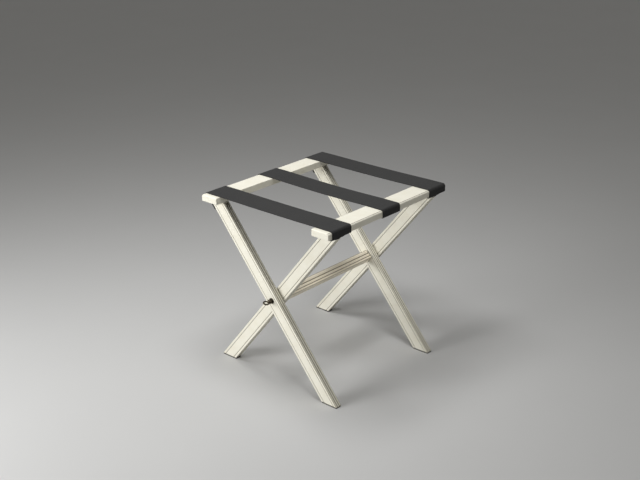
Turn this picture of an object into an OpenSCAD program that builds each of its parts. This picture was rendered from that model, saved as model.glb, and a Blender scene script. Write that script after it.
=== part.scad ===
// Folding luggage rack: two X-crossed wooden frames turning on a pair of eye bolts,
// joined by a stretcher and by three straps that stop them when the rack is open.
// Millimetres. X runs along the straps, Y along the rails, Z up; the floor is z = 0.

/* [Rack] */
// Height of the rails' top faces above the floor
rail_top_z = 506; // [440:1:580]
// Height of the folding pivot above the floor
pivot_z = 247; // [215:1:280]
// Angle of the legs from the floor, in degrees
leg_angle = 50.5; // [46:0.5:56]
// Depth over the outer faces of the legs
legs_depth = 447; // [380:1:540]

/* [Leg stock] */
// Width of the moulded stock
stock_w = 41; // [34:1:46]
// Thickness of the moulded stock
stock_t = 20; // [17:1:26]
// Distance from the stock's edges to the grooves in its broad faces
groove_in = 7.5; // [5:0.5:9]
// Width of a groove at the surface
groove_w = 1.6; // [1:0.1:2.4]
// Depth of a groove
groove_d = 1; // [0.6:0.1:1.5]
// Rise of the rounded reeds on the stock's narrow edges
reed_rise = 0.9; // [0.5:0.1:1.4]
// Number of reeds on a narrow edge
reed_count = 3; // [2:1:4]

/* [Rails] */
// Width of a rail
rail_w = 57; // [50:1:70]
// Thickness of a rail
rail_h = 19; // [16:1:24]
// How far a rail runs past the outer leg at the front
rail_over_front = 26; // [20:0.5:40]
// How far a rail runs past the outer leg at the back
rail_over_rear = 17.5; // [14:0.5:40]
// Depth of the small step beside a rail's outer top edge
rail_step = 1; // [0.5:0.5:2]
// Radius of the bead below the step, which is also the step's width
rail_bead = 4; // [3:0.5:5]
// Radius of a rail's other long edges
rail_ease = 1; // [0.5:0.5:4]
// Radius of the rounding at a rail's ends
rail_end_round = 4.5; // [1:0.5:6]
// How far a rail's middle lies outside the middle of the leg's top
rail_shift = 2.2; // [0:0.1:4]

/* [Stretcher] */
// Width of the stretcher's two reeded sides
bar_w = 28; // [24:1:34]
// Width of the stretcher across its reeded sides
bar_t = 26; // [20:1:30]
// Rise of the rounded reeds on the stretcher
bar_rise = 1.3; // [0.8:0.1:1.6]

/* [Pivots] */
// Diameter of the bolt's plain shank
bolt_d = 8; // [6:0.5:10]
// Radial running clearance between the shank and the legs' holes
pivot_play = 0.08; // [0.03:0.01:0.1]
// Gap between the two legs of a pair
leg_gap = 2.6; // [2:0.1:4]
// Gap between a leg and the stretcher's end
end_gap = 2.2; // [1.6:0.1:4]
// Clearance on each face of a washer
face_play = 0.15; // [0.1:0.01:0.2]
// Thickness of the washer under the bolt's head
head_washer_t = 1.5; // [1:0.1:2.5]
// Diameter of the washers
washer_d = 16; // [15:0.5:24]
// Radial clearance in a washer's hole
washer_play = 0.25; // [0.1:0.05:0.3]
// Diameter of the bolt's round head
head_d = 13; // [12:0.5:18]
// Length of the bolt's round head
head_len = 11; // [9:0.5:16]
// Radius of the head's rounded rims
head_ease = 2; // [1:0.5:3]
// Length of the neck between the head and the ring
neck_len = 1.5; // [1:0.5:6]
// Diameter of the neck
neck_d = 5; // [4:0.5:6]
// Mean diameter of the ring in front of the head
ring_d = 14; // [12:0.5:18]
// Thickness of the ring
ring_wire = 4; // [2.5:0.1:4.2]
// How far the ring is turned about the bolt from level, in degrees
ring_turn = 15; // [0:5:40]
// How far the bent ring's middle lies above the bolt's axis
ring_lift = 1; // [0:0.5:3]
// Diameter of the bolt's thread
thread_d = 6; // [4:0.5:6]
// Length of thread that the insert holds
thread_len = 16; // [10:1:24]
// Diameter of the threaded insert in the stretcher
insert_d = 12; // [10:0.5:13]
// Length of the threaded insert
insert_len = 20; // [18:1:30]

/* [Straps] */
// Width of a strap
strap_w = 72; // [60:1:90]
// Thickness of a strap
strap_t = 2; // [1.4:0.1:3]
// Clearance between a strap and the wood
strap_play = 0.3; // [0.2:0.05:0.4]
// How far the front strap's middle lies inside the middle of the outer legs
front_strap_in = 14; // [13:0.5:24]
// How far the rear strap's middle lies inside the middle of the outer legs
rear_strap_in = 10.5; // [10:0.5:20]
// Place of the middle strap's middle along the rails
middle_strap_y = 1.5; // [-20:0.5:20]
// How far a strap sags halfway between the rails
strap_sag = 1.5; // [0.5:0.5:12]
// Length of a strap's end under the rail
strap_tail = 24; // [20:1:30]
// Width of the slits that let a strap's end pass a leg
slit_w = 1; // [0.6:0.1:2]
// Length of the strap's lap down a leg of the left frame
left_lap = 30; // [20:1:36]
// Length of the strap's lap down a leg of the right frame
right_lap = 6; // [4:1:12]

/* [Feet] */
// Thickness of a foot pad
pad_t = 3; // [2.4:0.1:6]
// How far a pad stays inside the foot's edges
pad_inset = 0.5; // [0.3:0.1:2]
// Radius of a pad's corners
pad_round = 2; // [1:0.5:4]

/* [Fasteners] */
// Diameter of a dowel between a leg and its rail
dowel_d = 6; // [5:0.5:7]
// Depth of a dowel in the rail
dowel_in_rail = 10; // [8:0.5:12]
// Depth of a dowel in the leg
dowel_in_leg = 16; // [12:0.5:18]
// Wood left between a dowel and the leg's edges
dowel_wall = 4; // [3:0.5:5]
// Space left at each end of a dowel's hole
dowel_end_play = 0.5; // [0.3:0.1:1]
// Radial clearance of glued and driven parts in the wood
glue_play = 0.05; // [0.03:0.01:0.1]
// Diameter of a tack's shank
tack_d = 1.6; // [1.2:0.1:2]
// Diameter of a tack's head
tack_head_d = 5; // [4:0.5:6]
// Thickness of a tack's head
tack_head_t = 0.8; // [0.6:0.1:1]
// Depth of a tack in the wood
tack_in_wood = 10; // [7:0.5:12]
// Distance from the rail's outer side to the tacks under it
tack_in = 15; // [12:0.5:17]
// Wood left between a lap's tack and the rail's underside
tack_wall = 1; // [0.8:0.1:1.5]
// Most of a strap's width that one tack holds
tack_pitch = 26; // [20:1:40]

/* [Hidden] */

wood = "ivory";
fabric = "#3a3a3a";
bronze = "#3b3226";
steel = "silver";
rubber = "#26241f";
beech = "burlywood";

slack = 1;                        // how far a cutting tool runs past what it cuts
round_steps = 48;                 // sides of a round shape
bend_steps = 8;                   // steps of a strap's bend
knee_flat = 1;                    // least length of strap between the rail's edge and a leg's edge
sag_steps = 16;                   // steps of a strap's sag
LEFT = -1;
RIGHT = 1;

rail_bottom_z = rail_top_z - rail_h;
leg_slope = tan(leg_angle);
leg_cut = stock_w / sin(leg_angle);          // length of a leg's level end cut
top_x = (rail_bottom_z - pivot_z) / leg_slope;
foot_x = (pivot_z - pad_t) / leg_slope;
rail_x = top_x + rail_shift;
rail_outer_x = rail_x + rail_w / 2;
rail_inner_x = rail_x - rail_w / 2;
rail_len = legs_depth + rail_over_front + rail_over_rear;
rail_y = (rail_over_rear - rail_over_front) / 2;
outer_leg_y = (legs_depth - stock_t) / 2;
inner_leg_y = outer_leg_y - stock_t - leg_gap;
front_strap_y = front_strap_in - outer_leg_y;
rear_strap_y = outer_leg_y - rear_strap_in;
stretcher_end_y = inner_leg_y - stock_t / 2 - end_gap;
head_y = legs_depth / 2 + head_washer_t + 2 * face_play;
ring_y = head_y + head_len + neck_len + ring_d / 2;
dowel_first = -leg_cut / 2 + dowel_in_leg / leg_slope + dowel_wall + dowel_d / 2;
dowel_second = leg_cut / 2 - dowel_wall - dowel_d / 2;
pad_tack_x = leg_cut / 4;
bend_r = rail_ease + strap_play + strap_t / 2;
crown_r = rail_bead + 5 * strap_play + strap_t / 2;

// Heights and sides of the middle of a strap's thickness
strap_top_z = rail_top_z + strap_play + strap_t / 2;
strap_low_z = rail_bottom_z - strap_play - strap_t / 2;
strap_side_x = rail_outer_x + strap_play + strap_t / 2;
lap_off = stock_w / 2 + strap_play + strap_t / 2;

// Width of one end of the frame that the side's front or rear leg takes along Y
function leg_y(side, rear) = (rear ? 1 : -1) * ((side == LEFT) != rear ? outer_leg_y : inner_leg_y);

// Points of an arc in the XZ plane about c, from angle a to angle b
function arc(c, r, a, b, n) = [for (i = [0:n]) let (t = a + (b - a) * i / n) c + r * [cos(t), sin(t)]];

// Unit normal of a path at point i, square to the chord of its neighbours
function normal_at(p, i) =
    let (a = p[max(i - 1, 0)], b = p[min(i + 1, len(p) - 1)], d = (b - a) / norm(b - a)) [-d[1], d[0]];

// Outline of a ribbon of thickness t along the path p
function ribbon(p, t) = concat(
    [for (i = [0:len(p) - 1]) p[i] + normal_at(p, i) * t / 2],
    [for (i = [len(p) - 1:-1:0]) p[i] - normal_at(p, i) * t / 2]
);

function mirrored(p) = [for (i = [len(p) - 1:-1:0]) [-p[i][0], p[i][1]]];

// Half of a strap's path, from the top of the right rail round its outer side
rail_wrap = concat(
    arc([strap_side_x - crown_r, strap_top_z - crown_r], crown_r, 90, 0, bend_steps),
    arc([strap_side_x - bend_r, strap_low_z + bend_r], bend_r, 0, -90, bend_steps)
);
tail_end = [[rail_outer_x - strap_tail, strap_low_z]];
span = [for (i = [0:sag_steps]) let (t = 2 * i / sag_steps - 1)
    [rail_inner_x * t, strap_top_z - strap_sag * (1 - t * t)]];
strap_path = concat(mirrored(concat(rail_wrap, tail_end)), span, rail_wrap, tail_end);

// Where a strap leaves the rail's underside, and its ways down the leg's outer edge and off it
lap_start = [(strap_low_z - pivot_z) / leg_slope + lap_off / sin(leg_angle), strap_low_z];
lap_dir = [-cos(leg_angle), -sin(leg_angle)];
lap_out = [sin(leg_angle), -cos(leg_angle)];

// Way down the lap to its tack, whose hole ends one wall under the rail and short of the dowel
lap_tack_down = tack_d / 2 + glue_play + (tack_wall - strap_play - strap_t / 2
    + (lap_off - stock_w / 2 + tack_in_wood + glue_play) * cos(leg_angle)) / sin(leg_angle);

// A section w across and t through, whose two sides t wide are each a row of reeds
module reeded_section(w, t, rise) {
    pitch = t / reed_count;
    r = pitch * pitch / 8 / rise + rise / 2;
    square([w - 4 * rise, t], center = true);
    for (side = [LEFT, RIGHT]) intersection() {
        translate([side * w / 4, 0]) square([w / 2, t], center = true);
        for (i = [0:reed_count - 1]) translate([side * (w / 2 - r), (i + 0.5) * pitch - t / 2])
            circle(r = r, $fn = round_steps);
    }
}

module moulded_section() {
    difference() {
        reeded_section(stock_w, stock_t, reed_rise);
        for (side = [LEFT, RIGHT], face = [-1, 1]) {
            x = side * (stock_w / 2 - groove_in);
            edge = face * stock_t / 2;
            polygon([[x - groove_w / 2, edge], [x, edge - face * groove_d], [x + groove_w / 2, edge],
                [x, edge + face * slack]]);
        }
    }
}

// A cylinder along Y from y0 to y1 about the pivot's axis
module pivot_rod(d, y0, y1) {
    translate([0, y1, pivot_z]) rotate([90, 0, 0]) cylinder(d = d, h = y1 - y0, $fn = round_steps);
}

module ring_plate(d, hole, y0, y1) {
    difference() {
        pivot_rod(d, y0, y1);
        pivot_rod(hole, y0 - slack, y1 + slack);
    }
}

// The two dowels, or their holes, at the top of one leg
module dowel_pair(side, rear, d, grow) {
    for (u = [dowel_first, dowel_second]) {
        translate([side * (top_x - u), leg_y(side, rear), rail_bottom_z - dowel_in_leg - grow])
            cylinder(d = d, h = dowel_in_leg + dowel_in_rail + 2 * grow, $fn = round_steps);
    }
}

// Tacks under the pads of one frame: heads at depth head_up above the floor
module pad_tack_set(side, d, head_d, head_up, head_t, top_up) {
    for (rear = [false, true], k = [-1, 1]) {
        translate([-side * foot_x + k * pad_tack_x, leg_y(side, rear), 0]) {
            translate([0, 0, head_up]) cylinder(d = head_d, h = head_t, $fn = round_steps);
            translate([0, 0, head_up]) cylinder(d = d, h = top_up - head_up, $fn = round_steps);
        }
    }
}

module leg(side, rear) {
    reach = (rail_top_z + stock_w) / sin(leg_angle);
    y = leg_y(side, rear);
    difference() {
        intersection() {
            translate([0, y, pivot_z]) rotate([0, side * (90 - leg_angle), 0])
                linear_extrude(height = 2 * reach, center = true) moulded_section();
            translate([-reach, y - stock_t, pad_t]) cube([2 * reach, 2 * stock_t, rail_bottom_z - pad_t]);
        }
        pivot_rod(bolt_d + 2 * pivot_play, y - stock_t, y + stock_t);
        dowel_pair(side, rear, dowel_d + 2 * glue_play, dowel_end_play);
        pad_tack_set(side, tack_d + 2 * glue_play, tack_d, 0, tack_head_t,
            pad_t + tack_in_wood + dowel_end_play);
        if (side == LEFT) lap_tack(side, rear, tack_d + 2 * glue_play, glue_play);
    }
}

// The tongues of a strap's end: where each starts and stops along Y, and its layers
function tongues(side, rear, y0, y1) =
    let (a = leg_y(side, rear) - stock_t / 2 - slit_w, b = leg_y(side, rear) + stock_t / 2 + slit_w)
    [[y0, a, 2], [b, y1, 1]];

function tack_count(tongue) = max(1, floor((tongue[1] - tongue[0]) / tack_pitch + 0.5));

// Where the tacks go along Y under one rail, each with the layers that it holds
function under_tacks(side) = concat(
    tack_row(tongues(side, false, front_strap_y - strap_w / 2, front_strap_y + strap_w / 2)),
    tack_row([[middle_strap_y - strap_w / 2, middle_strap_y + strap_w / 2, 1]]),
    tack_row(tongues(side, true, rear_strap_y - strap_w / 2, rear_strap_y + strap_w / 2))
);

function tack_row(list) = [for (q = list, i = [0:tack_count(q) - 1])
    [q[0] + (q[1] - q[0]) * (i + 0.5) / tack_count(q), q[2]]];

// Tacks driven up into one rail, or the holes for them
module rail_tacks(side, d, grow, heads) {
    x = side * (rail_outer_x - tack_in);
    for (q = under_tacks(side)) {
        seat = rail_bottom_z - strap_play - q[1] * strap_t - face_play;
        translate([x, q[0], seat - grow])
            cylinder(d = d, h = rail_bottom_z + tack_in_wood + grow - seat + grow, $fn = round_steps);
        if (heads) translate([x, q[0], seat - tack_head_t])
            cylinder(d = tack_head_d, h = tack_head_t, $fn = round_steps);
    }
}

// A tack square to a leg's outer edge, through the strap's double lap
module lap_tack(side, rear, d, grow, head = 0) {
    over = 3 * strap_t / 2 + face_play;
    seat = lap_off + over;
    at = lap_start + lap_dir * lap_tack_down;
    translate([side * at[0], leg_y(side, rear), at[1]]) rotate([0, side * (90 - leg_angle), 0]) {
        rotate([0, side * 90, 0]) translate([0, 0, -lap_off + stock_w / 2 - tack_in_wood - grow])
            cylinder(d = d, h = seat - stock_w / 2 + tack_in_wood + 2 * grow, $fn = round_steps);
        if (head > 0) rotate([0, side * 90, 0]) translate([0, 0, over])
            cylinder(d = head, h = tack_head_t, $fn = round_steps);
    }
}

module rail(side) {
    difference() {
        translate([side * rail_x, rail_y, rail_bottom_z]) mirror([side == LEFT ? 1 : 0, 0, 0])
        intersection() {
            rotate([90, 0, 0]) linear_extrude(height = rail_len, center = true) rail_section();
            linear_extrude(height = rail_h) rounded_plate(rail_w, rail_len, rail_end_round);
            translate([0, 0, rail_h / 2]) rotate([0, 90, 0])
                linear_extrude(height = rail_w, center = true)
                    rounded_plate(rail_h, rail_len, rail_end_round);
        }
        for (rear = [false, true]) dowel_pair(side, rear, dowel_d + 2 * glue_play, dowel_end_play);
        rail_tacks(side, tack_d + 2 * glue_play, dowel_end_play, false);
    }
}

// A rail's section, outer side at +X, with its underside on the axis
module rail_section() {
    half = rail_w / 2;
    bead_z = rail_h - rail_step - rail_bead;
    translate([-half + rail_ease, 0]) square([rail_w - 2 * rail_ease, bead_z]);
    translate([-half, rail_ease]) square([rail_w, bead_z - rail_ease]);
    translate([-half + rail_ease, rail_ease]) square([rail_w - rail_ease - rail_bead, rail_h - rail_ease]);
    translate([-half, rail_ease]) square([half, rail_h - 2 * rail_ease]);
    for (p = [[-half + rail_ease, rail_ease], [-half + rail_ease, rail_h - rail_ease],
            [half - rail_ease, rail_ease]])
        translate(p) circle(r = rail_ease, $fn = round_steps);
    translate([half - rail_bead, bead_z]) circle(r = rail_bead, $fn = round_steps);
}

module rounded_plate(w, l, r) {
    square([w - 2 * r, l], center = true);
    square([w, l - 2 * r], center = true);
    for (i = [-1, 1], j = [-1, 1])
        translate([i * (w / 2 - r), j * (l / 2 - r)]) circle(r = r, $fn = round_steps);
}

module foot_pads(side) {
    difference() {
        for (rear = [false, true]) translate([-side * foot_x, leg_y(side, rear), 0])
            linear_extrude(height = pad_t)
                rounded_plate(leg_cut - 2 * pad_inset, stock_t - 2 * pad_inset, pad_round);
        pad_tack_set(side, tack_d + 2 * glue_play, tack_head_d + 2 * washer_play, -slack,
            slack + tack_head_t + 2 * face_play, pad_t + slack);
    }
}

// The stretcher lines up with the right frame's legs
module stretcher() {
    color(wood) difference() {
        translate([0, 0, pivot_z]) rotate([90, 0, 0])
            linear_extrude(height = 2 * stretcher_end_y, center = true)
                rotate(leg_angle) reeded_section(bar_t, bar_w, bar_rise);
        for (k = [-1, 1]) pivot_rod(insert_d + 2 * glue_play,
            k < 0 ? -stretcher_end_y - slack : stretcher_end_y - insert_len,
            k < 0 ? -stretcher_end_y + insert_len : stretcher_end_y + slack);
    }
}

module threaded_inserts() {
    color(steel) for (turn = [0, 180]) rotate([0, 0, turn])
        ring_plate(insert_d, thread_d + 2 * glue_play, -stretcher_end_y, -stretcher_end_y + insert_len);
}

// An eye bolt at the front of the rack: ring, round head, plain shank and thread
module pivot_bolt() {
    translate([0, 0, pivot_z]) rotate([90, 0, 0]) rotate_extrude($fn = round_steps) {
        translate([0, head_y]) square([head_d / 2 - head_ease, head_len]);
        translate([0, head_y + head_ease]) square([head_d / 2, head_len - 2 * head_ease]);
        for (y = [head_y + head_ease, head_y + head_len - head_ease])
            translate([head_d / 2 - head_ease, y]) circle(r = head_ease, $fn = round_steps);
    }
    pivot_rod(neck_d, -ring_y + ring_d / 2, -head_y - head_len + slack);
    pivot_rod(bolt_d, -head_y - slack, -stretcher_end_y - face_play);
    pivot_rod(thread_d, -stretcher_end_y - slack, -stretcher_end_y + thread_len);
    translate([0, -ring_y, pivot_z + ring_lift]) rotate([0, ring_turn, 0])
        rotate_extrude($fn = round_steps) translate([ring_d / 2, 0]) circle(d = ring_wire, $fn = 32);
}

// A washer on both pivot bolts, between the distances near and far from the middle
module washer_pair(near, far) {
    color(bronze) for (turn = [0, 180]) rotate([0, 0, turn])
        ring_plate(washer_d, bolt_d + 2 * washer_play, -far, -near);
}

module head_washers() {
    near = legs_depth / 2 + face_play;
    washer_pair(near, near + head_washer_t);
}

module spacer_washers() {
    washer_pair(inner_leg_y + stock_t / 2 + face_play, outer_leg_y - stock_t / 2 - face_play);
}

module stretcher_washers() { washer_pair(stretcher_end_y, inner_leg_y - stock_t / 2 - face_play); }

// An outline in the XZ plane, run out from y0 to y1
module strip(outline, y0, y1) {
    translate([0, y1, 0]) rotate([90, 0, 0]) linear_extrude(height = y1 - y0) polygon(outline);
}

// The end of a strap at one leg: a double tongue before it and a lap down its outer edge,
// double too on the left frame
module strap_end(side, rear, y0) {
    y = leg_y(side, rear);
    lap = side == LEFT ? left_lap : right_lap;
    flat_x = max(strap_side_x - bend_r, lap_start[0] + knee_flat);
    knee = [[flat_x, strap_low_z], lap_start, lap_start + lap_dir * lap];
    edge = ribbon(knee, strap_t);
    hem = [edge[1] + lap_out * strap_t, edge[2] + lap_out * strap_t];
    x1 = rail_outer_x - bend_r;
    mirror([side == LEFT ? 1 : 0, 0, 0]) {
        strip(concat([edge[0], edge[1]], side == LEFT ? hem : [edge[2]], [edge[3], edge[4], edge[5]]),
            y - stock_t / 2, y + stock_t / 2);
        translate([rail_outer_x - strap_tail, y0, strap_low_z - 3 * strap_t / 2])
            cube([x1 - rail_outer_x + strap_tail, y - stock_t / 2 - slit_w - y0, 3 * strap_t / 2]);
    }
}

// What a strap's end leaves open where a leg stands under the rail
module leg_notch(side, rear) {
    y = leg_y(side, rear);
    width = stock_t + 2 * slit_w;
    mirror([side == LEFT ? 1 : 0, 0, 0])
        translate([rail_outer_x - strap_tail - slack, y - width / 2, strap_low_z - strap_t])
            cube([strap_tail - rail_ease, width, 2 * strap_t]);
}

module strap(y, at_legs, rear) {
    y0 = y - strap_w / 2;
    color(fabric) difference() {
        union() {
            difference() {
                strip(ribbon(strap_path, strap_t), y0, y0 + strap_w);
                if (at_legs) for (side = [LEFT, RIGHT]) leg_notch(side, rear);
            }
            if (at_legs) for (side = [LEFT, RIGHT]) strap_end(side, rear, y0);
        }
        for (side = [LEFT, RIGHT]) rail_tacks(side, tack_d + 2 * washer_play, slack, false);
        if (at_legs) lap_tack(LEFT, rear, tack_d + 2 * washer_play, slack);
    }
}

module front_strap() { strap(front_strap_y, true, false); }
module middle_strap() { strap(middle_strap_y, false, false); }
module rear_strap() { strap(rear_strap_y, true, true); }

module left_rail() { color(wood) rail(LEFT); }
module right_rail() { color(wood) rail(RIGHT); }
module left_front_leg() { color(wood) leg(LEFT, false); }
module left_rear_leg() { color(wood) leg(LEFT, true); }
module right_front_leg() { color(wood) leg(RIGHT, false); }
module right_rear_leg() { color(wood) leg(RIGHT, true); }
module left_dowels() { color(beech) for (rear = [false, true]) dowel_pair(LEFT, rear, dowel_d, 0); }
module right_dowels() { color(beech) for (rear = [false, true]) dowel_pair(RIGHT, rear, dowel_d, 0); }
module left_foot_pads() { color(rubber) foot_pads(LEFT); }
module right_foot_pads() { color(rubber) foot_pads(RIGHT); }
module front_pivot_bolt() { color(bronze) pivot_bolt(); }
module rear_pivot_bolt() { color(bronze) rotate([0, 0, 180]) pivot_bolt(); }

module pad_tacks(side) {
    color(steel) pad_tack_set(side, tack_d, tack_head_d, face_play, tack_head_t, pad_t + tack_in_wood);
}

module left_pad_tacks() { pad_tacks(LEFT); }
module right_pad_tacks() { pad_tacks(RIGHT); }

module left_strap_tacks() {
    color(bronze) {
        rail_tacks(LEFT, tack_d, 0, true);
        for (rear = [false, true]) lap_tack(LEFT, rear, tack_d, 0, tack_head_d);
    }
}

module right_strap_tacks() { color(bronze) rail_tacks(RIGHT, tack_d, 0, true); }

left_rail();
left_front_leg();
left_rear_leg();
left_dowels();
left_foot_pads();
left_pad_tacks();
left_strap_tacks();
right_rail();
right_front_leg();
right_rear_leg();
right_dowels();
right_foot_pads();
right_pad_tacks();
right_strap_tacks();
stretcher();
threaded_inserts();
front_pivot_bolt();
rear_pivot_bolt();
head_washers();
spacer_washers();
stretcher_washers();
front_strap();
middle_strap();
rear_strap();
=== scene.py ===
"""A folding luggage rack: cream painted moulded wood with brown glaze in its grooves,
three charcoal webbing straps and a pair of antique bronze eye bolts, dressed on its frame.
Metres. X runs along the straps, Y along the rails, Z up; the floor is z = 0."""

import math
from collections import namedtuple

import bpy
import numpy as np
from mathutils import Matrix, Vector


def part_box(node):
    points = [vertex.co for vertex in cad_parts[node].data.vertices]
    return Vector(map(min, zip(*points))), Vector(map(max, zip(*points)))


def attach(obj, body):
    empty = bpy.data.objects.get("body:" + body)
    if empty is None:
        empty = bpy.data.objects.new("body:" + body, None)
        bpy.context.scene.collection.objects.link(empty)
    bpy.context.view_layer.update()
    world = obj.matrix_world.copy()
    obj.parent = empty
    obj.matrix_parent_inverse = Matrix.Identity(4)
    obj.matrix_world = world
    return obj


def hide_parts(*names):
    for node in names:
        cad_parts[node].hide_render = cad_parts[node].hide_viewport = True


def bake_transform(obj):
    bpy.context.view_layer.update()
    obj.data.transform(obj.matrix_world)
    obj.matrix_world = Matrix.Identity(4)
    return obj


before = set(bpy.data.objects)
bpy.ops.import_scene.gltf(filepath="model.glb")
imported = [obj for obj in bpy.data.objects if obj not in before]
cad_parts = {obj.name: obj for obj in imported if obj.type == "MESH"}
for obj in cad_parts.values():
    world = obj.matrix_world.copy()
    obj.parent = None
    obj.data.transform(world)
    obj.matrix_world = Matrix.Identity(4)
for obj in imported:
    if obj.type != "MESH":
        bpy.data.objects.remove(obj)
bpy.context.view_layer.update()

MM = 0.001
TINY = 1e-6                    # metres: places closer together than this are one place
LEFT, RIGHT = -1, 1

# Moulded stock: its width across the reeded edges, its thickness, the reeds' rise, the depth of
# the grooves in its broad faces, each reed's share of an edge, and how deep in the rise, as a
# share of it, the glaze and painted shade between the reeds are wiped off
Stock = namedtuple("Stock", "width thickness rise groove_d shares wiped")
LEG_STOCK = Stock(41 * MM, 20 * MM, 0.9 * MM, 1.0 * MM, (1 / 3, 1 / 3, 1 / 3), 0.35)
BAR_STOCK = Stock(26 * MM, 28 * MM, 1.3 * MM, 0.0, (0.26, 0.32, 0.42), 0.42)
LEG_ANGLE = math.radians(50.5)
GROOVE_IN = 7.5 * MM
GROOVE_W = 1.6 * MM
SOFTENING = 0.24 * MM          # how far sanding and paint round the sharp corners
END_EASE = 0.6 * MM            # ease of the cut ends
EASE_MIDDLE = 0.3              # depth of the ease half way round, as a share of it
BORE_R = 4.08 * MM
BORE_EASE = 0.4 * MM
BORE_REACH = 2.2 * BORE_R      # half of the square window that a bore's rings fill
BORE_MARGIN = 2 * MM           # from that window to the next square row
BORE_BLEND = 0.55              # how round the first ring is, as a share

# Rails
RAIL_STEP = 1 * MM
RAIL_BEAD = 4 * MM
RAIL_EASE = 1 * MM
RAIL_END_ROUND = 2.4 * MM
RAIL_SOFTENING = 0.5 * SOFTENING

# Where glaze with painted shade and worn corners fade out: distances into the wood, or from an edge
GROOVE_FADE = (0.05 * MM, 0.4 * MM)
REED_FADE = 0.25               # as a share of the reeds' rise
RISER_FADE = (0.2 * MM, 0.45 * MM)
FOOT_FADE = 0.3 * MM
TOP_FADE = 0.6                 # where on the riser it begins, as a share of the step
CORNER_FADE = (0.1 * MM, 0.7 * MM)
ARRIS_FADE = (0.3 * MM, 1.2 * MM)

# Straps
STRAP_W = 72 * MM
STRAP_T = 2 * MM
STRAP_PLAY = 0.3 * MM
CROWN_PLAY = 5 * STRAP_PLAY        # added to the bead's radius where a strap rounds it
STRAP_TAIL = 24 * MM
SLIT_W = 1 * MM
LAP = {LEFT: 30 * MM, RIGHT: 9 * MM}   # how far a lap comes down the leg
FOLD_R = STRAP_T / 2 + 0.06 * MM   # middle of the cloth where an end turns back on itself
TACK_IN = 15 * MM                  # from the rail's outer side to the tacks under it
HANG = 2.6 * MM                    # how far a turned-back end hangs, next to the leg
HANG_SPREAD = 4 * MM               # how far before its first column the hanging begins
HANG_LAG = 2 * MM                  # how far past the tacks it begins, and past the end it ends
TONGUE_IN = 1 * MM                 # from the lower bend to a turned-back end
KNEE_EASE = 1.6 * MM               # half of the curve where a lap turns down the leg
HEM_END = 1.5 * MM                 # how far below the knee a lap's hem ends
SELVEDGE = 0.7 * MM

# Hardware
FACE_PLAY = 0.15 * MM              # between a washer and the head that bears on it
HEAD_D = 13 * MM
HEAD_LEN = 11 * MM
HEAD_SEAT = (1.4 * MM, 0.6 * MM)   # length and depth of the chamfer at the washer
COLLAR_AT = 2.9 * MM               # from the washer to the middle of the turned line
COLLAR_HALF = 0.5 * MM             # half its width, and its depth
CROWN = ((3.0 * MM, 0.0), (0.8 * MM, 1.4 * MM), (0.0, 3.2 * MM))   # in from the outer end, and down
SHANK_D = 8 * MM
THREAD_D = 6 * MM
THREAD_LEN = 16 * MM
THREAD_TIP = (1 * MM, 0.5 * MM)    # length and depth of the chamfer at the thread's tip
NECK_D = 5 * MM
NECK_LEN = 1.5 * MM
NECK_ROOT = (0.2 * MM, 0.6 * MM)   # length and height of the fillet at the head
NECK_WAIST = 0.6                   # where the neck is thin, as a share of its length
NECK_IN_RING = 0.8 * MM            # how far the neck runs into the ring's wire
TURNED_R = 0.9 * MM                # how far the bolt's corners are rounded
TURNED_SHARE = 0.45                # the most of a side that one rounded corner takes
RING_D = 14 * MM
RING_WIRE = 4 * MM
RING_TURN = math.radians(15)
RING_LIFT = 1 * MM                 # of the ring's middle over the bolt's axis
RING_SWELL = 0.25                  # how much thicker the wire is at the neck, as a share
RING_SWELL_SPREAD = 0.32           # along the ring, in radians

# How closely the surfaces are sampled: points along a line and columns round a section
SOFTEN_POINTS = 4096
EDGE_POINTS = 180
FACE_POINTS = 400
STOCK_COLUMNS = 232
RAIL_COLUMNS = 236
CLOSER_AT_BENDS = {"stock": 0.9 * MM, "rail": 1.5 * MM}
LENGTH_ROWS = 26
BORE_ROWS = 9
RAIL_ROWS = 40
ROW_IN = {"stock": 4 * MM, "rail": 8 * MM}   # from an end to its first plain row
QUARTER_POINTS = 24
BEND_POINTS = 9
KNEE_POINTS = 7
SPAN_POINTS = 125
RUN_STEP = 3 * MM
END_STEP = 2 * MM
LATHE_COLUMNS = 64
RING_COLUMNS = 96
WIRE_COLUMNS = 28

# Places that the frame gives
rail_low, rail_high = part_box("right_rail")
RAIL_W = rail_high.x - rail_low.x
RAIL_H = rail_high.z - rail_low.z
RAIL_LEN = rail_high.y - rail_low.y
RAIL_Y = (rail_high.y + rail_low.y) / 2
RAIL_X = (rail_high.x + rail_low.x) / 2
RAIL_OUTER = rail_high.x
RAIL_INNER = rail_low.x
RAIL_TOP = rail_high.z
RAIL_BOTTOM = rail_low.z
washer_low, washer_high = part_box("head_washers")
PIVOT_Z = (washer_low.z + washer_high.z) / 2
HEAD_Y = washer_high.y + FACE_PLAY
STRETCHER_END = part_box("stretcher")[1].y


def middle_of(node):
    """Where a node's middle lies along Y."""
    low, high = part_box(node)
    return (low.y + high.y) / 2


# Mesh helpers

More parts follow.
